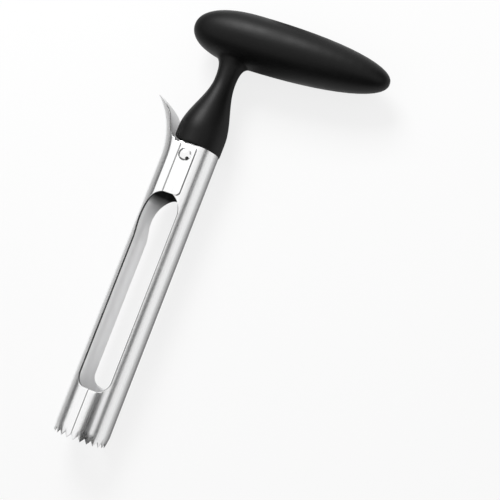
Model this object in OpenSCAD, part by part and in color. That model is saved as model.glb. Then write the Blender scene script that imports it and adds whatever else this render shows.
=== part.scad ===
// Apple corer with a T-shaped moulded handle and a hinged, lever-opened blade.
// Sizes are millimetres. The shapes are drawn upright in the corer's own frame: Z runs up the
// tube towards the handle, X runs from the lever side to the long side of the handle, and the
// hinge axis is parallel to Y at Z = 0. The finished corer is then laid down on its side, as it
// comes to rest, with the origin at the bottom centre of its box.

/* [Tube and blades] */
// Outside diameter of the coring tube
tube_d = 22; // [19:0.5:26]
// Thickness of the steel sheet
wall = 0.7; // [0.5:0.05:0.9]
// Distance from the hinge axis down to the tips of the teeth
reach = 118; // [100:1:130]
// Height of the closed ring at the cutting end, teeth included
ring_h = 20; // [14:1:28]
// Width of the open windows between the two blades, seen from the side
window_w = 14; // [11:0.5:15]
// Radius of the lower corners of the windows
window_r = 5; // [3:0.5:5.5]
// Gap along the two seams where the halves of the ring meet
seam_gap = 0.2; // [0.1:0.05:0.4]

/* [Cutting edge] */
// Number of teeth round the ring
teeth = 24; // [16:4:32]
// Depth of the notches between the teeth
tooth_depth = 2; // [1:0.1:2.5]
// Height of the ground bevel at the cutting edge
bevel_h = 4; // [2:0.5:5]
// Thickness left at the ground edge
edge_t = 0.15; // [0.1:0.05:0.3]

/* [Hinge] */
// Distance of the hinge axis from the tube's axis, towards the fixed blade
hinge_x = 1.3; // [0.5:0.1:2]
// Height of the ears above the hinge axis
ear_rise = 4; // [3.4:0.1:4.3]
// Depth of the ears below the hinge axis
ear_drop = 16.5; // [13:0.5:20]
// Distance from the hinge axis to the free edge of the ears
ear_edge = 3.7; // [3.4:0.1:4]
// Radius of the ears' lower corners
ear_r = 1.8; // [1:0.1:2.5]
// Distance of the ears' flat faces in from the tube's outside
ear_inset = 0.8; // [0.7:0.1:1.2]
// Running gap between each ear and the flat beside it
side_gap = 0.1; // [0.05:0.05:0.2]
// Diameter of the rivets' shanks
rivet_d = 3; // [2:0.1:3.4]
// Radial running clearance of the ears on the rivets
rivet_play = 0.05; // [0.02:0.01:0.1]
// Diameter of the rivets' domed heads
head_d = 5.5; // [4.6:0.1:6]
// Height of the rivets' domed heads
head_h = 1.05; // [0.6:0.05:1.2]
// Diameter of the rivets' flat tails inside the tube
tail_d = 4.4; // [4:0.1:5]
// Thickness of the rivets' flat tails
tail_h = 0.5; // [0.3:0.05:0.8]

/* [Lever] */
// Height of the lever's tip above the hinge axis
lever_rise = 21.6; // [18:0.2:23]
// Width of the lever above its shoulders
lever_w = 16; // [14:0.5:18]
// Radius to which the lever is bent outwards
lever_bend = 34; // [30:1:45]
// Distance below the hinge axis at which the bend starts
bend_drop = 3.5; // [1:0.5:5]

/* [Handle] */
// Overall length of the cross grip
grip_len = 84.2; // [70:0.5:100]
// How far the grip's blunt end stands out past the tube's axis
grip_back = 18.3; // [16:0.5:24]
// Distance from the grip's blunt end to its thickest section
grip_peak = 26.3; // [22:0.5:34]
// Thickness of the grip along the tube's axis
grip_h = 22; // [19:0.5:25]
// Width of the grip across the tube's axis
grip_w = 24; // [23:0.5:28]
// Height of the grip's centre line above the hinge axis
grip_z = 53.6; // [48:0.5:60]
// Fullness of the grip's outline, where 2 is an ellipse
grip_full = 2.25; // [2:0.05:2.6]
// Diameter of the neck at its waist
waist_d = 8.7; // [7:0.1:11]
// Height of the rounded corner between the neck and the grip
neck_fillet = 7.6; // [6:0.2:10]
// Height of the collar's lower edge above the hinge axis
collar_z = 4.7; // [4.6:0.1:6]
// Height over which the collar keeps its full width
collar_h = 6.3; // [4:0.1:8]
// How far the collar stands out past the tube on the fixed side
collar_lip = 0.35; // [0.2:0.05:1]
// How far the collar stands out past each ear
collar_side = 0.6; // [0.4:0.1:1.2]
// Room left between the tube's outside and the collar on the lever side
lever_room = 2.45; // [2.2:0.05:3.5]
// Radius of the collar's lower edge where it clears the opening lever
relief_r = 13.5; // [12:0.5:16]
// Depth of the steel tang inside the collar
tang_h = 11; // [8:0.5:13]
// Distance of the tang in from the channel's outside
tang_step = 1; // [0.8:0.1:1.4]

/* [Hidden] */
$fn = 96;
black = [0.06, 0.06, 0.06];
steel = [0.78, 0.79, 0.8];

tube_r = tube_d / 2;
bore_r = tube_r - wall;
ear_out = tube_r - ear_inset;
ear_in = ear_out - wall;
channel_out = ear_in - side_gap;
channel_in = channel_out - wall;
channel_back = -3;
tang_r = tube_r - tang_step;
tang_flat = channel_out - tang_step;
lever_inset = 0.3;
lever_half = lever_w / 2;
root_half = ear_out - lever_inset;
shoulder_z = 4.4;
shoulder_h = 4.2;
shoulder_steps = 6;
lever_side = 4;
ear_back = 6.5;
ear_right = hinge_x + ear_edge;
ear_top_r = 1.2;
head_gap = 0.05;
over = 1;

collar_right = tube_r + collar_lip;
collar_left = lever_room - tube_r;
collar_x = (collar_right + collar_left) / 2;
collar_a = (collar_right - collar_left) / 2;
collar_b = ear_out + collar_side;
collar_top = collar_z + collar_h;
waist_z = grip_z - grip_h / 2 - neck_fillet;
waist_shift = 0.95;
waist_x = collar_x + waist_shift;
waist_a = waist_d / 2;
waist_b = waist_a * collar_b / collar_a;
fillet_long = 4.6;
fillet_wide = 3.3;
fillet_a = waist_a + fillet_long;
fillet_b = waist_b + fillet_wide;
fillet_sink = 0.3;
fillet_pull = 0.6;
fillet_rise = 0.75;
neck_sides = 40;
neck_rings = 14;
fillet_rings = 9;
grip_sides = 48;
grip_steps = 15;
grip_front = grip_len - grip_peak;
peak_x = grip_peak - grip_back;

bend_x = -tube_r - lever_bend;
bend_angle = asin((lever_rise + bend_drop) / lever_bend);
spare_angle = 10;
lever_tip_x = bend_x + lever_bend * cos(bend_angle);
window_x = window_w / 2;
window_z = ring_h - reach;
window_lap = 0.5;
window_crown = 8;
arch_x = 1;
arch_h = 12;
arch_set = 1.1;
arch_run = 9;
arch_steps = 6;
join_drop = 10;
join_z = -ear_drop - join_drop;
far = 2 * tube_d;

lie_pitch = asin((grip_w / 2 - tube_r) / (grip_z + reach - bevel_h));
lie_height = grip_w / 2 * cos(lie_pitch) - grip_z * sin(lie_pitch);
box_left = min(lever_tip_x, -grip_back);
box_mid_x = (box_left + grip_len - grip_back) / 2;
box_mid_y = (grip_z + grip_h / 2 - reach) / 2;

// Points along an elliptical arc in the side view, from one angle to another
function arc(x, z, rx, rz, from, to, steps = 12) =
    [for (i = [0 : steps]) let (a = from + (to - from) * i / steps) [x + rx * cos(a), z + rz * sin(a)]];

// Smooth ease from 0 to 1
function ease(t) = let (s = max(0, min(1, t))) s * s * (3 - 2 * s);

// Half thickness of the grip at a distance from its thickest section, as a share of the full one
function grip_share(d) =
    let (t = min(1, abs(d) / (d < 0 ? grip_peak : grip_front))) pow(1 - pow(t, grip_full), 1 / grip_full);

// Height of the grip's underside over a point of the plan
function underside(x, y) =
    let (share = grip_share(x - peak_x), across = min(1, abs(y) / (grip_w / 2 * share)))
    grip_z - grip_h / 2 * share * sqrt(1 - across * across);

// Point of a cubic curve
function cubic(p, q, r, s, t) =
    pow(1 - t, 3) * p + 3 * t * pow(1 - t, 2) * q + 3 * t * t * (1 - t) * r + pow(t, 3) * s;

// Point on the grip's underside round the neck, at a share of the rounded corner's reach
function landing(share, a) =
    let (x = waist_x + share * fillet_a * cos(a), y = share * fillet_b * sin(a))
    [x, y, underside(x, y) + fillet_sink];

// One ring of the neck between the collar and the waist
function neck_ring(z) =
    let (
        t = (waist_z - z) / (waist_z - collar_top),
        half_x = waist_a + (collar_a - waist_a) * ease(t),
        half_y = half_x * collar_b / collar_a,
        x = collar_x + (waist_x - collar_x) * ease(1 - t)
    )
    [for (i = [0 : neck_sides - 1])
        let (a = 360 * i / neck_sides)
        [x + half_x * cos(a), half_y * sin(a), z]];

// One ring of the rounded corner between the waist and the grip
function fillet_ring(t) =
    [for (i = [0 : neck_sides - 1])
        let (
            a = 360 * i / neck_sides,
            foot = [waist_x + waist_a * cos(a), waist_b * sin(a), waist_z]
        )
        cubic(foot, foot + [0, 0, neck_fillet * fillet_rise], landing(fillet_pull, a), landing(1, a), t)];

// Lays the upright corer on its side with the origin at the bottom centre of its box
module laid_down() {
    translate([-box_mid_x, -box_mid_y, lie_height])
        rotate([lie_pitch - 90, 0, 0])
            children();
}

// Extrudes a side-view outline right through the tube
module through() {
    rotate([90, 0, 0])
        linear_extrude(height = far, center = true)
            children();
}

// Tube section with two flats: a circle cut off at a distance each side
module flatted(radius, flat) {
    intersection() {
        circle(r = radius);
        square([far, 2 * flat], center = true);
    }
}

// Section of the fixed channel under the ears
module channel_section() {
    difference() {
        flatted(tube_r, channel_out);
        flatted(bore_r, channel_in);
        translate([channel_back - far, -far / 2])
            square([far, far]);
    }
}

// Section of the tang inside the collar
module tang_section() {
    difference() {
        flatted(tang_r, tang_flat);
        flatted(tang_r - wall, tang_flat - wall);
        translate([-far, -far / 2])
            square([far, far]);
    }
}

// Section of the hinged blade at the ears: a round back that runs out into two flat ears
module ear_section() {
    difference() {
        intersection() {
            union() {
                circle(r = tube_r);
                translate([0, -ear_out])
                    square([ear_right, 2 * ear_out]);
            }
            translate([-far, -ear_out])
                square([far + ear_right, 2 * ear_out]);
        }
        flatted(bore_r, ear_in);
        translate([0, -ear_in])
            square([far, 2 * ear_in]);
    }
}

// Plain tube section
module tube_section() {
    difference() {
        circle(r = tube_r);
        circle(r = bore_r);
    }
}

// Side-view outline of the fixed blade
module fixed_outline() {
    polygon(concat(
        [[seam_gap / 2, -reach], [far, -reach], [far, collar_z], [channel_back, collar_z]],
        [[channel_back, window_lap - ear_drop]],
        arc(0, window_lap - ear_drop - window_crown, window_x, window_crown, 90, 0),
        arc(window_x - window_r, window_z + window_r, window_r, window_r, 0, -90),
        [[seam_gap / 2, window_z]]
    ));
}

// Side-view outline of the hinged blade up to the top of its ears
module hinged_outline() {
    polygon(concat(
        [[-seam_gap / 2, -reach], [-seam_gap / 2, window_z]],
        arc(window_r - window_x, window_z + window_r, window_r, window_r, -90, -180),
        [for (i = [0 : arch_steps])
            let (t = i / arch_steps)
            [-window_x - arch_set * ease(t), -ear_drop - arch_h - arch_run * (1 - t)]],
        arc(-arch_x, -ear_drop - arch_h, window_x + arch_set - arch_x, arch_h, 180, 90),
        arc(ear_right - ear_r, ear_r - ear_drop, ear_r, ear_r, -90, 0),
        arc(ear_right - ear_top_r, ear_rise - ear_top_r, ear_top_r, ear_top_r, 0, 90),
        [[-far, ear_rise], [-far, -reach]]
    ));
}

// Notches and bevel that make the toothed cutting edge
module tooth_cuts() {
    half = PI * tube_r / teeth;
    for (i = [0 : teeth - 1])
        rotate([0, 0, i * 360 / teeth])
            translate([bore_r - over, 0, -reach])
                rotate([90, 0, 90])
                    linear_extrude(height = wall + 2 * over)
                        polygon([[-half, -over], [-half, 0], [0, tooth_depth], [half, 0], [half, -over]]);
    rotate_extrude()
        polygon([
            [bore_r + edge_t, -reach],
            [bore_r + edge_t, -reach - over],
            [tube_r + over, -reach - over],
            [tube_r + over, bevel_h - reach],
            [tube_r, bevel_h - reach]
        ]);
}

// Round lower part of both blades, from the teeth up past the windows
module lower_tube() {
    difference() {
        translate([0, 0, -reach])
            linear_extrude(height = reach + join_z)
                tube_section();
        tooth_cuts();
    }
}

// Cross grip: a rounded spindle, thicker near the neck and tapering to its far end
module grip() {
    rings = [for (i = [1 : 2 * grip_steps - 1])
        let (
            a = 180 * i / (2 * grip_steps),
            d = a < 90 ? -grip_peak * cos(a) : -grip_front * cos(a),
            share = grip_share(d)
        )
        [for (k = [0 : grip_sides - 1])
            let (b = 360 * k / grip_sides)
            [peak_x + d, grip_w / 2 * share * cos(b), grip_z + grip_h / 2 * share * sin(b)]]];
    count = len(rings) * grip_sides;
    polyhedron(
        points = concat(
            [for (ring = rings) each ring],
            [[-grip_back, 0, grip_z], [grip_len - grip_back, 0, grip_z]]
        ),
        faces = concat(
            [for (i = [0 : grip_sides - 1]) [count, i, (i + 1) % grip_sides]],
            [for (k = [0 : len(rings) - 2], i = [0 : grip_sides - 1])
                let (j = (i + 1) % grip_sides, low = k * grip_sides, high = low + grip_sides)
                each [[low + i, high + j, low + j], [low + i, high + i, high + j]]],
            [for (i = [0 : grip_sides - 1])
                [count + 1, count - grip_sides + (i + 1) % grip_sides, count - grip_sides + i]]
        )
    );
}

// Neck: an oval collar drawn in to a waist, then flared into the underside of the grip
module neck() {
    lower = [for (i = [0 : neck_rings]) neck_ring(collar_top + (waist_z - collar_top) * i / neck_rings)];
    upper = [for (i = [1 : fillet_rings]) fillet_ring(i / fillet_rings)];
    rings = concat([neck_ring(collar_z)], lower, upper);
    last = len(rings) - 1;
    apex = (last + 1) * neck_sides;
    polyhedron(
        points = concat([for (ring = rings) each ring], [[waist_x, 0, grip_z]]),
        faces = concat(
            [[for (i = [0 : neck_sides - 1]) i]],
            [for (k = [0 : last - 1], i = [0 : neck_sides - 1])
                let (j = (i + 1) % neck_sides, low = k * neck_sides, high = low + neck_sides)
                each [[low + i, high + j, low + j], [low + i, high + i, high + j]]],
            [for (i = [0 : neck_sides - 1])
                [last * neck_sides + i, apex, last * neck_sides + (i + 1) % neck_sides]]
        )
    );
}

// Moulded handle
module handle() {
    color(black)
        laid_down()
            difference() {
                union() {
                    grip();
                    neck();
                }
                // Rounded lower edge that clears the opening lever
                through()
                    translate([0, collar_z])
                        difference() {
                            translate([-far, -over])
                                square([far, relief_r + over]);
                            translate([0, relief_r])
                                circle(r = relief_r);
                        }
                // Slot moulded round the tang
                translate([0, 0, collar_z - over])
                    linear_extrude(height = tang_h + over)
                        tang_section();
            }
}

// Blade that is fixed in the handle
module fixed_blade() {
    color(steel)
        laid_down()
            difference() {
                union() {
                    intersection() {
                        lower_tube();
                        through()
                            fixed_outline();
                    }
                    intersection() {
                        translate([0, 0, join_z])
                            linear_extrude(height = collar_z - join_z)
                                channel_section();
                        through()
                            fixed_outline();
                    }
                    // Shoulder that the collar seats on
                    translate([0, 0, collar_z - wall])
                        linear_extrude(height = wall)
                            difference() {
                                flatted(tube_r, channel_out);
                                flatted(tang_r - wall, tang_flat - wall);
                                translate([-far, -far / 2])
                                    square([far, far]);
                            }
                    translate([0, 0, collar_z - wall])
                        linear_extrude(height = tang_h + wall)
                            tang_section();
                }
                // Rivet holes
                translate([hinge_x, 0, 0])
                    rotate([90, 0, 0])
                        cylinder(d = rivet_d, h = far, center = true);
            }
}

// Outline of the lever seen along X: a wide root, drawn in at the shoulders to the rounded end
module lever_outline() {
    shoulder = [for (i = [0 : shoulder_steps])
        let (t = i / shoulder_steps)
        [root_half + (lever_half - root_half) * ease(t), shoulder_z + shoulder_h * t]];
    polygon(concat(
        [[-root_half, -bend_drop], [root_half, -bend_drop]],
        shoulder,
        [for (i = [shoulder_steps : -1 : 0]) [-shoulder[i][0], shoulder[i][1]]]
    ));
    translate([-lever_half, -bend_drop])
        square([lever_w, lever_rise - lever_half + bend_drop]);
    translate([0, lever_rise - lever_half])
        circle(r = lever_half);
}

// Thumb lever: the round back of the blade bent outwards, with a rounded end
module lever() {
    intersection() {
        translate([bend_x, 0, -bend_drop])
            rotate([90, 0, 0])
                rotate_extrude(angle = bend_angle + spare_angle)
                    intersection() {
                        translate([-bend_x, 0])
                            tube_section();
                        translate([0, -root_half])
                            square([-bend_x - lever_side, 2 * root_half]);
                    }
        rotate([90, 0, -90])
            linear_extrude(height = far)
                lever_outline();
    }
}

// Blade that swings on the rivets when the lever is pressed towards the neck
module hinged_blade() {
    color(steel)
        laid_down()
            difference() {
                union() {
                    intersection() {
                        union() {
                            lower_tube();
                            translate([0, 0, join_z])
                                linear_extrude(height = -bend_drop - join_z)
                                    ear_section();
                            // The ears go on up beside the start of the lever
                            translate([0, 0, -bend_drop])
                                linear_extrude(height = ear_rise + bend_drop)
                                    intersection() {
                                        ear_section();
                                        translate([-ear_back, -far])
                                            square([far, 2 * far]);
                                    }
                        }
                        through()
                            hinged_outline();
                    }
                    lever();
                }
                // Rivet holes with running clearance
                translate([hinge_x, 0, 0])
                    rotate([90, 0, 0])
                        cylinder(r = rivet_d / 2 + rivet_play, h = far, center = true);
            }
}

// Rivet through one ear and the flat beside it, with its head outside
module rivet() {
    seat = ear_out + head_gap;
    dome_r = (head_d * head_d / 4 + head_h * head_h) / (2 * head_h);
    rotate([90, 0, 0])
        union() {
            translate([0, 0, channel_in - tail_h])
                cylinder(d = tail_d, h = tail_h);
            translate([0, 0, channel_in - tail_h])
                cylinder(d = rivet_d, h = seat - channel_in + tail_h + head_h / 2);
            intersection() {
                translate([0, 0, seat + head_h - dome_r])
                    sphere(r = dome_r);
                translate([0, 0, seat])
                    cylinder(d = head_d, h = head_h + over);
            }
        }
}

module front_rivet() {
    color(steel)
        laid_down()
            translate([hinge_x, 0, 0])
                rivet();
}

module back_rivet() {
    color(steel)
        laid_down()
            translate([hinge_x, 0, 0])
                mirror([0, 1, 0])
                    rivet();
}

handle();
fixed_blade();
hinged_blade();
front_rivet();
back_rivet();
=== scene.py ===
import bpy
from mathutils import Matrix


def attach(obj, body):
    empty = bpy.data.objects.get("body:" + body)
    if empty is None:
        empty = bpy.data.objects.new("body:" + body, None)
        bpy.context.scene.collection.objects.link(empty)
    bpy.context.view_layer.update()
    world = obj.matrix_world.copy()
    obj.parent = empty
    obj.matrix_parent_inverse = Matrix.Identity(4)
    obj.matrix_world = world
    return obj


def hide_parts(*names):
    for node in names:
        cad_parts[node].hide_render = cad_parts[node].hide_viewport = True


bl_info = {
    "name": "Apple corer",
    "version": (1, 0, 0),
    "blender": (4, 5, 0),
    "location": "3D View > Sidebar > Corer",
    "description": "Models and finishes the moulded handle and the formed blades of an apple corer",
    "category": "Mesh",
}

import math

import bmesh
import bpy
from mathutils import Matrix, Vector

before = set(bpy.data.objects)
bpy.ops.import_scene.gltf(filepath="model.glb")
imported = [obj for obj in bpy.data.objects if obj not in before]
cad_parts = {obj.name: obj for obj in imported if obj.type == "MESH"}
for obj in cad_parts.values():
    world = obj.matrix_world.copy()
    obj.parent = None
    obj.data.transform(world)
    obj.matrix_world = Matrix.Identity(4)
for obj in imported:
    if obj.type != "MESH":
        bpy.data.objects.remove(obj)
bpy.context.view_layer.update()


# The blades and rivets are made upright, in millimetres. Z runs up the tube towards the handle,
# X towards the long end of the grip and -Y towards the camera, with the hinge axis at Z = 0.
# LAID lays them down in the frame, in metres. The tube drops 1 mm in 167.6 mm towards the teeth.
TUBE_PLACE = (-0.02191724, 0.0267, 0.01167998)
SLOPE = math.asin(1.0 / 167.6)
LAID = (
    Matrix.Translation(TUBE_PLACE)
    @ Matrix.Rotation(SLOPE - math.pi / 2, 4, "X")
    @ Matrix.Scale(0.001, 4)
)

# Tube and cutting edge. TEETH_Z and NOTCH_Z are the tips and roots of the teeth.
TUBE_R = 11.0
TEETH = 24
TEETH_Z = -117.89
NOTCH_Z = -116.0
GROUND_Z = -114.0
GROUND_EDGE = 0.15
RING_TOP = -98.0
HALF_SEAM = 0.1

# Sides of the blades: round up to ROUND_TOP, and flat from FLAT_RUN above that. FIXED_FLAT and
# EAR_FLAT say how far the outer faces of the flats lie from the axis.
BEND_R = 2.0
FIXED_FLAT = 9.4
EAR_FLAT = 10.2
ROUND_TOP = -26.0
FLAT_RUN = 6.5
# Coined line beside the ears: how far it stands out, its distance from the axis and its width
COINED = 0.42
COINED_X = 2.3
COINED_RUN = 0.8
# Flat sheets: half their widths, with room to spare, and the gaps between their score lines
FIXED_WIDTH = 21.0
HINGED_WIDTH = 22.5
WIDEST = 26.0
SCORE_GAP = 0.5
BEND_SCORE_GAP = 0.15

# Window, its arch on the fixed blade, and the place where it widens on the hinged blade
WINDOW_X = 7.0
WINDOW_R = 5.0
ARCH_Z = -24.0
ARCH_H = 8.0
SWELL = 1.1
SWELL_Z = -37.5
SWELL_RUN = 9.0

# Channel, joggle and tang of the fixed blade
CHANNEL_BACK = -3.0
COLLAR_Z = 4.7
JOGGLE_Z = 5.0
JOGGLE_RUN = 0.3
TANG_H = 11.0

# Ears of the hinged blade
EAR_START = 1.0
EAR_EDGE = -5.0
EAR_FOOT = -16.5
EAR_TOP = 4.0
EAR_FOOT_R = 1.8
EAR_TOP_R = 1.2

# Thumb lever: its root, the shoulder where it narrows, its rounded end and the middle of its bend,
# which fades out beside the lever. The cut edges are left sheared below THUMB_Z.
ROOT_HALF = 9.9
ROOT_R = 0.6
SHOULDER_Z = 4.4
SHOULDER_H = 4.2
LEVER_HALF = 8.0
LEVER_TOP = 21.6
LEVER_BEND_X = 45.0
LEVER_BEND_Z = -3.5
BEND_EDGE = 11.0
BEND_FADE = 2.5
THUMB_Z = 3.6

# Rivets: radius and distance from the tube's axis, from the tail to the foot of the domed head
HINGE_X = 1.3
RIVET_PROFILE = (
    (0.0, 8.2), (2.05, 8.2), (2.2, 8.32), (2.2, 8.7), (1.5, 8.7), (1.5, 10.25), (2.74, 10.25),
    (2.72, 10.34),
)
DOME_R = 4.126
DOME_TOP = 11.3
DOME_TURN = 0.68
DOME_STEPS = 14

# Material slots of a blade's dull inside and its cut edges. The polished outside is slot 0.
INSIDE, CUT = 1, 2

# Along the frame's Y, in metres: where the painted shade inside the closed end starts and ends, and
# where the lever begins
PAINTED_SHADE_START = (0.0056, 0.0098)
PAINTED_SHADE_END = (0.026, 0.0285)
LEVER_START = (0.0285, 0.0305)

CAMERA_PLACE = (0.11058273, -0.03615909, 0.38341154)
CAMERA_TURN = (10.32378, 11.46195, 21.36054)
CAMERA_LENS = 71.28

# The lamp and the cards stand round the corer. In degrees, their side angle leans from straight
# up towards the long end of the grip, and their back angle leans from there towards the grip.
LAMP_SIDE, LAMP_BACK, LAMP_DISTANCE = -29.0, 41.0, 0.7
LAMP_SIZE = (0.32, 0.3)
LAMP_POWER = 3.5
# Cards that are only seen reflected: name, side angle, back angle, distance, size, level
CARDS = (
    ("right_flag", 74.0, 0.0, 0.6, (0.2, 2.0), 0.1),
    ("left_flag", -84.0, 0.0, 0.6, (0.31, 2.0), 0.1),
    ("near_flag", 0.0, -70.0, 0.8, (2.4, 0.7), 0.08),
    ("near_right_flag", 48.0, -42.0, 0.8, (0.6, 0.6), 0.1),
    ("far_right_flag", 52.0, 40.0, 0.8, (0.4, 0.5), 0.3),
)
# Cards that lie on the floor: name, middle, width, and level at their left and right edges
TABLE_CARDS = (
    ("left_far_card", -0.28, 0.28, 0.16, 0.4),
    ("left_near_card", -0.097, 0.086, 0.42, 0.62),
    # The next two cards are painted shadow, seen only in reflections: the first darkens towards the
    # tube like the floor's contact shadow, and the second is a dark sheet where the shade under the
    # tube falls.
    ("painted_shadow_right_card", 0.0005, 0.022, 0.15, 0.85),
    ("painted_shadow_under_card", -0.013, 0.005, 0.2, 0.15),
)
TABLE_CARD_LENGTH = 1.6
# The dark disc whose reflection is the spot on the rivet: side angle, back angle, distance, radius
HOOD = (25.0, -27.0, 0.4, 0.14)
HOOD_LEVEL = 0.03
# The floor lies just under the corer, with its cards between. It shows white by these shares.
FLOOR_Z = -0.0002
TABLE_CARD_Z = -0.0001
FLOOR_SEEN = 0.8
FLOOR_REFLECTED = 0.55
ROOM_LEVEL = 0.44
WHITE = (1.0, 1.0, 1.0, 1.0)


def link(name, mesh):
    piece = bpy.data.objects.new(name, mesh)
    bpy.context.scene.collection.objects.link(piece)
    return piece


def mesh_from(form, name):
    """Turns a finished bmesh into a mesh and frees it."""
    mesh = bpy.data.meshes.new(name)
    form.to_mesh(mesh)
    form.free()
    return mesh


def merged_copy(node, name):
    """A copy of a CAD node's mesh with its loose triangles joined."""
    form = bmesh.new()
    form.from_mesh(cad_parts[node].data)
    bmesh.ops.remove_doubles(form, verts=form.verts, dist=0.00001)
    mesh = mesh_from(form, name)
    mesh.materials.clear()
    return link(name, mesh)


def ease(t):
    """A smooth rise from 0 to 1."""
    t = min(1.0, max(0.0, t))
    return t * t * (3 - 2 * t)


class Section:
    """Section of a rolled sheet, round at first and then bent softly into a flat."""

    def __init__(self, flat):
        self.turn = math.asin((flat - BEND_R) / (TUBE_R - BEND_R))
        self.out = (TUBE_R - BEND_R) * math.cos(self.turn)
        self.side = flat - BEND_R
        self.round_end = TUBE_R * self.turn
        self.bend_end = self.round_end + BEND_R * (math.pi / 2 - self.turn)

    def place(self, along, depth):
        """Distances out and sideways from the tube's axis, along the section and into the sheet."""
        if along < self.round_end:
            turn = along / TUBE_R
            return (TUBE_R - depth) * math.cos(turn), (TUBE_R - depth) * math.sin(turn)
        turn = min(math.pi / 2, self.turn + (along - self.round_end) / BEND_R)
        run = max(0.0, along - self.bend_end)
        reach = BEND_R - depth
        return self.out + reach * math.cos(turn) - run, self.side + reach * math.sin(turn)

    def rolled(self, along, height, depth):
        """As place, but a plain round tube below the ears."""
        share = ease((height - ROUND_TOP) / FLAT_RUN)
        turn = along / TUBE_R
        plain = ((TUBE_R - depth) * math.cos(turn), (TUBE_R - depth) * math.sin(turn))
        return [p + (b - p) * share for p, b in zip(plain, self.place(along, depth))]

    def length(self, out, height):
        """Length along the section at which it is a given distance out from the axis."""
        low, high = 0.0, WIDEST
        for _ in range(40):
            middle = (low + high) / 2
            if self.rolled(middle, height, 0.0)[0] > out:
                low = middle
            else:
                high = middle
        return low


def arc(out, height, rx, rz, start, end, steps):
    """Points of an elliptical arc in the side view."""
    turns = [math.radians(start + (end - start) * i / steps) for i in range(steps + 1)]
    return [(out + rx * math.cos(t), height + rz * math.sin(t)) for t in turns]


def toothed_edge():
    """Half of the cutting edge, from the middle of a blade to its seam and up to the ring's top."""
    pitch = math.pi * TUBE_R / TEETH
    count = TEETH // 2
    points = [(pitch * k, NOTCH_Z if k % 2 == 0 else TEETH_Z) for k in range(count)]
    seam = TUBE_R * math.acos(HALF_SEAM / TUBE_R)
    rest = (count * pitch - seam) / pitch
    return points + [(seam, NOTCH_Z + (TEETH_Z - NOTCH_Z) * rest), (seam, RING_TOP)]


def window_foot():
    """The window's lower end, from the ring's top to its straight side."""
    foot = WINDOW_X - WINDOW_R
    corner = arc(foot, RING_TOP + WINDOW_R, WINDOW_R, WINDOW_R, -90, 0, 8)
    return [(foot, RING_TOP)] + corner[1:]


def pressed_sheet(half, cuts, thickness, edge):
    """A flat sheet cut to an outline, with eased edges, scored so that it can be rolled."""
    form = bmesh.new()
    outline = half + [(-u, z) for u, z in reversed(half[1:-1])]
    form.faces.new([form.verts.new((u, z, 0)) for u, z in outline])
    lifted = bmesh.ops.extrude_face_region(form, geom=form.faces[:])["geom"]
    corners = [g for g in lifted if isinstance(g, bmesh.types.BMVert)]
    bmesh.ops.translate(form, vec=(0, 0, thickness), verts=corners)
    bmesh.ops.recalc_face_normals(form, faces=form.faces[:])
    rims = [e for e in form.edges if abs(e.verts[0].co.z - e.verts[1].co.z) < thickness / 2]
    bmesh.ops.bevel(
        form, geom=rims, offset=edge, offset_type="OFFSET", segments=2, profile=0.5,
        affect="EDGES", clamp_overlap=True, material=-1,
    )
    for face in form.faces:
        face.normal_update()
        if face.normal.z > 0.9:
            face.material_index = INSIDE
        elif abs(face.normal.z) < 0.5 and face.calc_center_median().y < THUMB_Z:
            face.material_index = CUT
    for axis, places in enumerate(cuts):
        normal = [0, 0, 0]
        normal[axis] = 1
        for place in places:
            bmesh.ops.bisect_plane(
                form, geom=form.verts[:] + form.edges[:] + form.faces[:], dist=0.0005,
                plane_co=[n * place for n in normal], plane_no=normal,
            )
    return form


def score_lines(section, widest, top, step=()):
    """Where a sheet is scored: along the section, closer at the bend, and each mm up its length."""
    along = [SCORE_GAP * i for i in range(1, int(widest / SCORE_GAP))]
    bend_lines = int((section.bend_end - section.round_end) / BEND_SCORE_GAP) + 2
    along += [section.round_end + BEND_SCORE_GAP * i for i in range(bend_lines)]
    along += step
    up = [GROUND_Z + i for i in range(int(top - GROUND_Z) + 1)]
    return [0.0] + along + [-u for u in along], up


def ground(height, depth, thickness):
    """Depth into the sheet where the cutting edge is ground from outside."""
    share = min(1.0, max(0.0, (GROUND_Z - height) / (GROUND_Z - TEETH_Z)))
    return depth + (thickness - GROUND_EDGE) * share * (1 - depth / thickness)


def shade(piece, sharp):
    """Shades a piece smooth, apart from edges sharper than an angle in degrees."""
    for face in piece.data.polygons:
        face.use_smooth = True
    piece.data.set_sharp_from_angle(angle=math.radians(sharp))


def bake_modifiers(piece):
    """Applies the piece's modifiers to its mesh."""
    graph = bpy.context.evaluated_depsgraph_get()
    mesh = bpy.data.meshes.new_from_object(piece.evaluated_get(graph), depsgraph=graph)
    piece.modifiers.clear()
    piece.data = mesh


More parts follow.
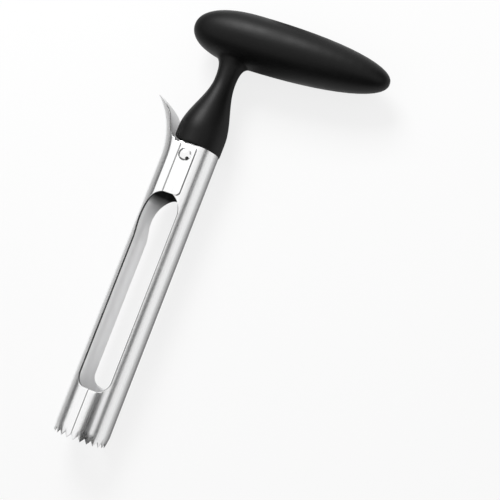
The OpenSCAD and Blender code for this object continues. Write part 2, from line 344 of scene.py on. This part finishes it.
class Tree:
    """A small builder for the nodes of a material or world."""

    def __init__(self, owner):
        owner.use_nodes = True
        self.owner = owner
        self.nodes = owner.node_tree.nodes
        self.links = owner.node_tree.links
        self.nodes.clear()

    def add(self, kind, inputs=None, **settings):
        """Adds a node. An input is a value or another node's output."""
        node = self.nodes.new(kind)
        for key, value in settings.items():
            setattr(node, key, value)
        for key, value in (inputs or {}).items():
            if isinstance(value, bpy.types.NodeSocket):
                self.links.new(value, node.inputs[key])
            else:
                node.inputs[key].default_value = value
        return node

    def place(self):
        return self.add("ShaderNodeTexCoord").outputs["Object"]

    def stretched(self, place, scale):
        """A place scaled along each axis, for marks that are drawn out along one."""
        inputs = {"Vector": place, "Scale": scale}
        return self.add("ShaderNodeMapping", inputs, vector_type="POINT").outputs["Vector"]

    def noise(self, place, scale, detail, roughness):
        inputs = {"Vector": place, "Scale": scale, "Detail": detail, "Roughness": roughness}
        return self.add("ShaderNodeTexNoise", inputs).outputs["Fac"]

    def blend(self, factor, first, second):
        """A colour between two, each a property or another node's output."""
        inputs = {"Factor": factor}
        for key, colour in (("A", first), ("B", second)):
            is_output = isinstance(colour, bpy.types.NodeSocket)
            inputs[key] = colour if is_output else (*colour, 1.0)
        return self.add("ShaderNodeMix", inputs, data_type="RGBA").outputs[2]

    def bump(self, height, strength, distance):
        inputs = {"Height": height, "Strength": strength, "Distance": distance}
        return self.add("ShaderNodeBump", inputs).outputs["Normal"]

    def span(self, value, low, high, to_low, to_high):
        """A value carried from one range to another, and clamped."""
        inputs = {
            "Value": value, "From Min": low, "From Max": high, "To Min": to_low, "To Max": to_high
        }
        return self.add("ShaderNodeMapRange", inputs).outputs["Result"]

    def calculate(self, operation, *values):
        return self.add("ShaderNodeMath", dict(enumerate(values)), operation=operation).outputs[0]

    def mixed(self, factor, first, second):
        inputs = {"Fac": factor, 1: first, 2: second}
        return self.add("ShaderNodeMixShader", inputs).outputs["Shader"]

    def principled(self, inputs):
        return self.add("ShaderNodeBsdfPrincipled", inputs).outputs["BSDF"]

    def finish(self, surface, kind="ShaderNodeOutputMaterial"):
        """Links the surface to the output and hands back the material or world."""
        self.add(kind, {"Surface": surface})
        return self.owner


def moulding_finish(colours):
    """Satin black moulding: fine spark-eroded grain, uneven gloss and faint flow marks."""
    tree = Tree(bpy.data.materials.new("black_moulding"))
    place = tree.place()
    cloud = tree.noise(place, scale=90.0, detail=4.0, roughness=0.55)
    grain = tree.noise(place, scale=2600.0, detail=3.0, roughness=0.6)
    surface = tree.principled({
        "Base Color": tree.blend(cloud, colours.moulding, colours.moulding_light),
        "Roughness": tree.span(cloud, 0.3, 0.7, 0.40, 0.48),
        "Normal": tree.bump(grain, strength=0.12, distance=0.00006),
        "IOR": 1.5,
        "Specular IOR Level": 0.2,
    })
    return tree.finish(surface)


def steel_finish(name, colours, along, across, gloss):
    """Brushed stainless steel: fine lines along the tube, softer streaks and uneven gloss."""
    tree = Tree(bpy.data.materials.new(name))
    place = tree.place()
    fine, broad = (across, along, across), (across / 6, along / 3, across / 6)
    lines = tree.noise(tree.stretched(place, fine), scale=1.0, detail=3.0, roughness=0.6)
    streaks = tree.noise(tree.stretched(place, broad), scale=1.0, detail=2.0, roughness=0.5)
    surface = tree.principled({
        "Base Color": tree.blend(streaks, colours.steel_shade, colours.steel),
        "Metallic": 1.0,
        "Roughness": tree.span(lines, 0.3, 0.7, gloss * 0.85, gloss * 1.2),
        "Normal": tree.bump(lines, strength=0.08, distance=0.00002),
    })
    return tree.finish(surface)


def dull_finish(name, colours):
    """Inside of the rolled sheet: left dull from the rolls, with painted shade in its closed end by
    the hinge, dark and not metallic, and a nearly white blasted side on the thumb lever."""
    tree = Tree(bpy.data.materials.new(name))
    place = tree.place()
    fine = (3000, 60, 3000)
    lines = tree.noise(tree.stretched(place, fine), scale=1.0, detail=3.0, roughness=0.6)
    tone = tree.blend(lines, colours.steel_shade, colours.steel)
    up = tree.add("ShaderNodeSeparateXYZ", {"Vector": place}).outputs["Y"]
    # Painted shade: between these heights the inside by the hinge is darkened to near black and
    # made not metallic, where it lies in shade.
    painted_shade = tree.calculate(
        "MULTIPLY", tree.span(up, *PAINTED_SHADE_START, 0.0, 1.0), tree.span(up, *PAINTED_SHADE_END, 1.0, 0.0)
    )
    outside_painted_shade = tree.span(painted_shade, 0.0, 1.0, 1.0, 0.0)
    surface = tree.principled({
        "Base Color": tree.blend(painted_shade, tone, colours.painted_shade),
        "Metallic": tree.calculate("MULTIPLY", outside_painted_shade, tree.span(up, *LEVER_START, 1.0, 0.1)),
        "Specular IOR Level": 0.1,
        "Roughness": tree.span(up, *LEVER_START, 0.4, 0.65),
        "Normal": tree.bump(lines, strength=0.1, distance=0.00002),
    })
    return tree.finish(surface)


def sheared_and_gap_shade_finish(name, colours):
    """Cut edges of the sheet: matt, with fine shear marks, and near black, partly for the sheared
    steel and partly as painted shade for the gaps between the sheets.
    """
    tree = Tree(bpy.data.materials.new(name))
    marks = tree.noise(tree.place(), scale=3000.0, detail=2.0, roughness=0.6)
    surface = tree.principled({
        "Base Color": tree.blend(marks, colours.edge, colours.edge_light),
        "Metallic": 0.3,
        "Roughness": 0.5,
        "Specular IOR Level": 0.2,
        "Normal": tree.bump(marks, strength=0.2, distance=0.00003),
    })
    return tree.finish(surface)


def card_finish(name, level):
    """A card of one level."""
    tree = Tree(bpy.data.materials.new(name))
    glow = tree.add("ShaderNodeEmission", {"Color": WHITE, "Strength": level})
    return tree.finish(glow.outputs["Emission"])


def table_card_finish(name, left, right, start, end):
    """A card that fades between two levels across its width."""
    tree = Tree(bpy.data.materials.new(name))
    across = tree.add("ShaderNodeSeparateXYZ", {"Vector": tree.place()}).outputs["X"]
    level = tree.span(across, left, right, start, end)
    glow = tree.add("ShaderNodeEmission", {"Color": WHITE, "Strength": level})
    return tree.finish(glow.outputs["Emission"])


def floor_finish(colour):
    """Pale matt floor, which shows mostly white and keeps the corer's shadow."""
    tree = Tree(bpy.data.materials.new("pale_floor"))
    ray = tree.add("ShaderNodeLightPath")
    seen = tree.calculate("MULTIPLY", ray.outputs["Is Camera Ray"], FLOOR_SEEN)
    shown = tree.calculate("MULTIPLY_ADD", ray.outputs["Is Glossy Ray"], FLOOR_REFLECTED, seen)
    matt = tree.add("ShaderNodeBsdfDiffuse", {"Color": (*colour, 1.0)})
    glow = tree.add("ShaderNodeEmission", {"Color": WHITE, "Strength": 1.0})
    return tree.finish(tree.mixed(shown, matt.outputs["BSDF"], glow.outputs["Emission"]))


def studio_world():
    """A room that is white where it is seen or reflected, and lights the corer more softly."""
    tree = Tree(bpy.data.worlds.new("studio"))
    ray = tree.add("ShaderNodeLightPath")
    shown = tree.calculate("MAXIMUM", ray.outputs["Is Camera Ray"], ray.outputs["Is Glossy Ray"])
    room = tree.add("ShaderNodeBackground", {"Color": WHITE, "Strength": ROOM_LEVEL})
    back = tree.add("ShaderNodeBackground", {"Color": WHITE, "Strength": 1.0})
    both = tree.mixed(shown, room.outputs["Background"], back.outputs["Background"])
    return tree.finish(both, "ShaderNodeOutputWorld")


def finished_sheet(form, name, colours):
    """The rolled sheet as a brushed piece."""
    bmesh.ops.recalc_face_normals(form, faces=form.faces[:])
    piece = link(name, mesh_from(form, name))
    shade(piece, 40)
    brushed = steel_finish("brushed_" + name, colours, along=40.0, across=5200.0, gloss=0.24)
    piece.data.materials.append(brushed)
    piece.data.materials.append(dull_finish("dull_" + name, colours))
    piece.data.materials.append(sheared_and_gap_shade_finish("sheared_" + name, colours))
    return piece


def heading(side, back):
    """A direction from its side and back angles, in degrees."""
    a, b = math.radians(side), math.radians(back)
    return Vector((math.sin(a) * math.cos(b), math.sin(b), math.cos(a) * math.cos(b)))


def flat_card(name, side, back, distance, size):
    """A flat card that faces the corer, with its length along the tube."""
    form = bmesh.new()
    bmesh.ops.create_grid(form, x_segments=1, y_segments=1, size=0.5)
    place = heading(side, back) * distance
    toward = place.normalized()
    along = Vector((0, 1, 0)) - toward * toward.y
    along.normalize()
    turn = Matrix((along.cross(toward), along, toward)).transposed().to_4x4()
    turn.translation = place
    bmesh.ops.scale(form, vec=(*size, 1), verts=form.verts)
    bmesh.ops.transform(form, matrix=turn, verts=form.verts)
    return link(name, mesh_from(form, name))


def flat_disc(name, side, back, distance, radius):
    """A round card that faces the corer."""
    form = bmesh.new()
    bmesh.ops.create_circle(form, cap_ends=True, radius=radius, segments=48)
    place = heading(side, back) * distance
    turn = place.to_track_quat("Z", "Y").to_matrix().to_4x4()
    turn.translation = place
    bmesh.ops.transform(form, matrix=turn, verts=form.verts)
    return link(name, mesh_from(form, name))


def table_card(name, middle, width):
    """A flat card that lies on the floor beside the corer."""
    form = bmesh.new()
    bmesh.ops.create_grid(form, x_segments=1, y_segments=1, size=0.5)
    bmesh.ops.scale(form, vec=(width, TABLE_CARD_LENGTH, 1), verts=form.verts)
    bmesh.ops.translate(form, vec=(middle, 0, TABLE_CARD_Z), verts=form.verts)
    return link(name, mesh_from(form, name))


class CorerColours(bpy.types.PropertyGroup):
    moulding: bpy.props.FloatVectorProperty(
        name="Moulding", description="Colour of the handle", subtype="COLOR", size=3,
        default=(0.0015, 0.0015, 0.0015),
    )
    moulding_light: bpy.props.FloatVectorProperty(
        name="Moulding, light", description="Colour of the handle's lighter clouds",
        subtype="COLOR", size=3, default=(0.0026, 0.0026, 0.0026),
    )
    steel: bpy.props.FloatVectorProperty(
        name="Steel", description="Colour of the polished steel", subtype="COLOR", size=3,
        default=(0.96, 0.96, 0.96),
    )
    steel_shade: bpy.props.FloatVectorProperty(
        name="Steel, dark", description="Colour of the darker brushed streaks", subtype="COLOR",
        size=3, default=(0.9, 0.9, 0.905),
    )
    # Colour of the painted shade inside the tube by the hinge, where the inside lies in shade.
    painted_shade: bpy.props.FloatVectorProperty(
        name="Dark film", description="Colour of the film inside the tube by the hinge",
        subtype="COLOR", size=3, default=(0.04, 0.04, 0.04),
    )
    # The cut edges' colours are partly the sheared steel's own and partly painted shade for the
    # gaps between the sheets.
    edge: bpy.props.FloatVectorProperty(
        name="Cut edge", description="Colour of the sheet's cut edges", subtype="COLOR", size=3,
        default=(0.03, 0.03, 0.031),
    )
    edge_light: bpy.props.FloatVectorProperty(
        name="Cut edge, light", description="Colour of the brighter marks on the cut edges",
        subtype="COLOR", size=3, default=(0.07, 0.07, 0.072),
    )
    floor: bpy.props.FloatVectorProperty(
        name="Floor", description="Colour of the floor", subtype="COLOR", size=3,
        default=(0.95, 0.95, 0.95),
    )


class CorerSizes(bpy.types.PropertyGroup):
    moulding_cell: bpy.props.FloatProperty(
        name="Moulding cell", description="Size of the cells that blend the handle's surface",
        unit="LENGTH", default=0.00045,
    )
    sheet: bpy.props.FloatProperty(
        name="Sheet", description="Thickness of the blades' steel sheet", unit="LENGTH",
        default=0.0007,
    )
    eased_edge: bpy.props.FloatProperty(
        name="Eased edge", description="Width of the eased edge round the blades", unit="LENGTH",
        default=0.00009,
    )
    floor_radius: bpy.props.FloatProperty(
        name="Floor radius", description="Radius of the floor", unit="LENGTH", default=4.0
    )


class CORER_OT_handle(bpy.types.Operator):
    """Blends the moulded handle from its solid and gives it its satin finish"""

    bl_idname = "corer.handle"
    bl_label = "Moulded handle"

    def execute(self, context):
        scene = context.scene
        piece = merged_copy("handle", "moulded_handle")
        remesh = piece.modifiers.new("blend", "REMESH")
        remesh.mode = "VOXEL"
        remesh.voxel_size = scene.corer_sizes.moulding_cell
        smooth = piece.modifiers.new("smooth", "SMOOTH")
        smooth.factor = 0.5
        smooth.iterations = 8
        bake_modifiers(piece)
        for face in piece.data.polygons:
            face.use_smooth = True
        piece.data.materials.append(moulding_finish(scene.corer_colours))
        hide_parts("handle")
        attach(piece, "handle_body")
        return {"FINISHED"}


class CORER_OT_fixed_blade(bpy.types.Operator):
    """Presses, rolls and joggles the fixed blade from flat sheet"""

    bl_idname = "corer.fixed_blade"
    bl_label = "Fixed blade"

    def execute(self, context):
        scene = context.scene
        wall = scene.corer_sizes.sheet * 1000
        edge = scene.corer_sizes.eased_edge * 1000
        section = Section(FIXED_FLAT)
        top = COLLAR_Z + TANG_H
        side = window_foot() + arc(0.0, ARCH_Z, WINDOW_X, ARCH_H, 0, 90, 16)
        side += [(CHANNEL_BACK, ARCH_Z + ARCH_H), (CHANNEL_BACK, COLLAR_Z), (0.0, COLLAR_Z)]
        side += [(0.0, top)]
        half = toothed_edge() + [(section.length(x, z), z) for x, z in side] + [(0.0, top)]
        form = pressed_sheet(half, score_lines(section, FIXED_WIDTH, top), wall, edge)
        for corner in form.verts:
            u, z, depth = corner.co
            # The joggle above the collar takes the tang 1 mm inwards
            sunk = ground(z, depth, wall) + ease((z - JOGGLE_Z) / JOGGLE_RUN)
            out, across = section.rolled(abs(u), z, sunk)
            corner.co = LAID @ Vector((out, math.copysign(across, -u), z))
        piece = finished_sheet(form, "rolled_fixed_blade", scene.corer_colours)
        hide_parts("fixed_blade")
        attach(piece, "handle_body")
        return {"FINISHED"}


def hinged_outline(section):
    """Half of the hinged blade's outline: ring, window, ear, lever."""
    swell_top = SWELL_Z + SWELL_RUN
    side = window_foot()
    side += [(WINDOW_X + SWELL * ease(i / 6), SWELL_Z + SWELL_RUN * i / 6) for i in range(6)]
    reach = WINDOW_X + SWELL - EAR_START
    side += arc(EAR_START, swell_top, reach, EAR_FOOT - swell_top, 0, 90, 18)
    foot, top = EAR_FOOT + EAR_FOOT_R, EAR_TOP - EAR_TOP_R
    side += arc(EAR_EDGE + EAR_FOOT_R, foot, -EAR_FOOT_R, EAR_FOOT_R, -90, 0, 6)
    side += arc(EAR_EDGE + EAR_TOP_R, top, -EAR_TOP_R, EAR_TOP_R, 0, 90, 5)
    half = toothed_edge() + [(section.length(x, z), z) for x, z in side]
    root = TUBE_R * math.asin(ROOT_HALF / TUBE_R)
    half += arc(root + ROOT_R, EAR_TOP + ROOT_R, -ROOT_R, ROOT_R, -90, 0, 4)
    narrowing = ROOT_HALF - LEVER_HALF
    lever = [
        (ROOT_HALF - narrowing * ease(i / 8), SHOULDER_Z + SHOULDER_H * i / 8) for i in range(1, 9)
    ]
    lever += arc(0.0, LEVER_TOP - LEVER_HALF, LEVER_HALF, LEVER_HALF, 0, 90, 20)
    half += [(TUBE_R * math.asin(y / TUBE_R), z) for y, z in lever]
    half[-1] = (0.0, LEVER_TOP)
    return half


class CORER_OT_hinged_blade(bpy.types.Operator):
    """Presses, rolls and bends the hinged blade with its ears and thumb lever from flat sheet"""

    bl_idname = "corer.hinged_blade"
    bl_label = "Hinged blade"

    def execute(self, context):
        scene = context.scene
        wall = scene.corer_sizes.sheet * 1000
        edge = scene.corer_sizes.eased_edge * 1000
        section = Section(EAR_FLAT - COINED)
        step_start = section.bend_end + section.out - COINED_X
        step = [step_start + COINED_RUN * i / 6 for i in range(-1, 8)]
        cuts = score_lines(section, HINGED_WIDTH, LEVER_TOP, step)
        form = pressed_sheet(hinged_outline(section), cuts, wall, edge)
        for corner in form.verts:
            u, z, depth = corner.co
            out, across = section.rolled(abs(u), z, ground(z, depth, wall))
            # The ears stand up from the back of the blade at a coined line, outside only
            inner = depth / wall
            risen = min(1.0, max(0.0, (abs(u) - step_start) / COINED_RUN))
            bent = ease((abs(u) - section.round_end) / (section.bend_end - section.round_end))
            flat = ease((z - ROUND_TOP) / FLAT_RUN)
            across += COINED * flat * (risen * (1 - inner) + bent * inner)
            # The lever bends away round a long radius, and the ears stay straight
            lift = max(0.0, z - LEVER_BEND_Z)
            spare = LEVER_BEND_X - out
            shift = spare - math.sqrt(spare * spare - lift * lift)
            shift *= 1 - ease((abs(u) - BEND_EDGE) / BEND_FADE)
            corner.co = LAID @ Vector((-out - shift, math.copysign(across, -u), z))
        piece = finished_sheet(form, "rolled_hinged_blade", scene.corer_colours)
        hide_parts("hinged_blade")
        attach(piece, "lever_body")
        return {"FINISHED"}


def turned_rivet(name, face):
    """A rivet spun from its profile, on the camera's side for face 1 and the far side for -1."""
    turns = [DOME_TURN * i / DOME_STEPS for i in range(DOME_STEPS, -1, -1)]
    dome = [(DOME_R * math.sin(a), DOME_TOP - DOME_R * (1 - math.cos(a))) for a in turns]
    form = bmesh.new()
    corners = [form.verts.new((r, 0, h)) for r, h in (*RIVET_PROFILE, *dome)]
    edges = [form.edges.new(pair) for pair in zip(corners, corners[1:])]
    bmesh.ops.spin(
        form, geom=corners + edges, cent=(0, 0, 0), axis=(0, 0, 1), dvec=(0, 0, 0),
        angle=2 * math.pi, steps=48, use_merge=True, use_duplicate=False,
    )
    bmesh.ops.remove_doubles(form, verts=form.verts[:], dist=0.001)
    stand = Matrix.Translation((HINGE_X, 0, 0)) @ Matrix.Rotation(face * math.pi / 2, 4, "X")
    bmesh.ops.transform(form, matrix=LAID @ stand, verts=form.verts[:])
    bmesh.ops.recalc_face_normals(form, faces=form.faces[:])
    piece = link(name, mesh_from(form, name))
    shade(piece, 35)
    return piece


class CORER_OT_rivets(bpy.types.Operator):
    """Turns the two short rivets with their domed heads"""

    bl_idname = "corer.rivets"
    bl_label = "Rivets"

    def execute(self, context):
        colours = context.scene.corer_colours
        finish = steel_finish("rivet_steel", colours, along=900.0, across=900.0, gloss=0.12)
        rivets = (("front_rivet_turned", "front_rivet", 1), ("back_rivet_turned", "back_rivet", -1))
        for name, node, face in rivets:
            piece = turned_rivet(name, face)
            piece.data.materials.append(finish)
            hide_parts(node)
            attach(piece, "handle_body")
        return {"FINISHED"}


class CORER_OT_stage(bpy.types.Operator):
    """Lays the pale floor and the cards, hangs the lamp and sets the camera"""

    bl_idname = "corer.stage"
    bl_label = "Stage, lamp and camera"

    def execute(self, context):
        scene = context.scene
        scene.view_settings.view_transform = "Standard"
        scene.world = studio_world()

        form = bmesh.new()
        radius = scene.corer_sizes.floor_radius
        bmesh.ops.create_circle(form, cap_ends=True, radius=radius, segments=96)
        floor = link("floor", mesh_from(form, "floor"))
        floor.location = (0, 0, FLOOR_Z)
        floor.data.materials.append(floor_finish(scene.corer_colours.floor))

        cards = []
        for name, side, back, distance, size, level in CARDS:
            cards.append(flat_card(name, side, back, distance, size))
            cards[-1].data.materials.append(card_finish(name, level))
        for name, middle, width, start, end in TABLE_CARDS:
            cards.append(table_card(name, middle, width))
            left, right = middle - width / 2, middle + width / 2
            cards[-1].data.materials.append(table_card_finish(name, left, right, start, end))
        cards.append(flat_disc("camera_hood", *HOOD))
        cards[-1].data.materials.append(card_finish("camera_hood", HOOD_LEVEL))
        for card in cards:
            card.visible_camera = False
            card.visible_diffuse = False
            card.visible_shadow = False

        data = bpy.data.lights.new("key_lamp", "AREA")
        data.shape = "RECTANGLE"
        data.size, data.size_y = LAMP_SIZE
        data.energy = LAMP_POWER
        lamp = bpy.data.objects.new("key_lamp", data)
        lamp.location = heading(LAMP_SIDE, LAMP_BACK) * LAMP_DISTANCE
        lamp.rotation_euler = lamp.location.to_track_quat("Z", "Y").to_euler()
        lamp.visible_camera = False
        scene.collection.objects.link(lamp)

        view = bpy.data.cameras.new("camera")
        view.lens = CAMERA_LENS
        view.sensor_width = 36.0
        view.clip_start = 0.01
        view.clip_end = 20.0
        camera = bpy.data.objects.new("camera", view)
        camera.location = CAMERA_PLACE
        camera.rotation_euler = [math.radians(a) for a in CAMERA_TURN]
        scene.collection.objects.link(camera)
        scene.camera = camera
        return {"FINISHED"}


class CORER_PT_panel(bpy.types.Panel):
    """Lists the corer's pieces and its stage"""

    bl_idname = "CORER_PT_panel"
    bl_label = "Apple corer"
    bl_space_type = "VIEW_3D"
    bl_region_type = "UI"
    bl_category = "Corer"

    def draw(self, context):
        for step in STEPS:
            self.layout.operator(step.bl_idname)


STEPS = (
    CORER_OT_handle,
    CORER_OT_fixed_blade,
    CORER_OT_hinged_blade,
    CORER_OT_rivets,
    CORER_OT_stage,
)
CLASSES = (CorerColours, CorerSizes, *STEPS, CORER_PT_panel)


def register():
    for cls in CLASSES:
        bpy.utils.register_class(cls)
    bpy.types.Scene.corer_colours = bpy.props.PointerProperty(type=CorerColours)
    bpy.types.Scene.corer_sizes = bpy.props.PointerProperty(type=CorerSizes)


def unregister():
    del bpy.types.Scene.corer_sizes
    del bpy.types.Scene.corer_colours
    for cls in reversed(CLASSES):
        bpy.utils.unregister_class(cls)


def main():
    register()
    bpy.ops.corer.handle()
    bpy.ops.corer.fixed_blade()
    bpy.ops.corer.hinged_blade()
    bpy.ops.corer.rivets()
    bpy.ops.corer.stage()


if __name__ == "__main__":
    main()
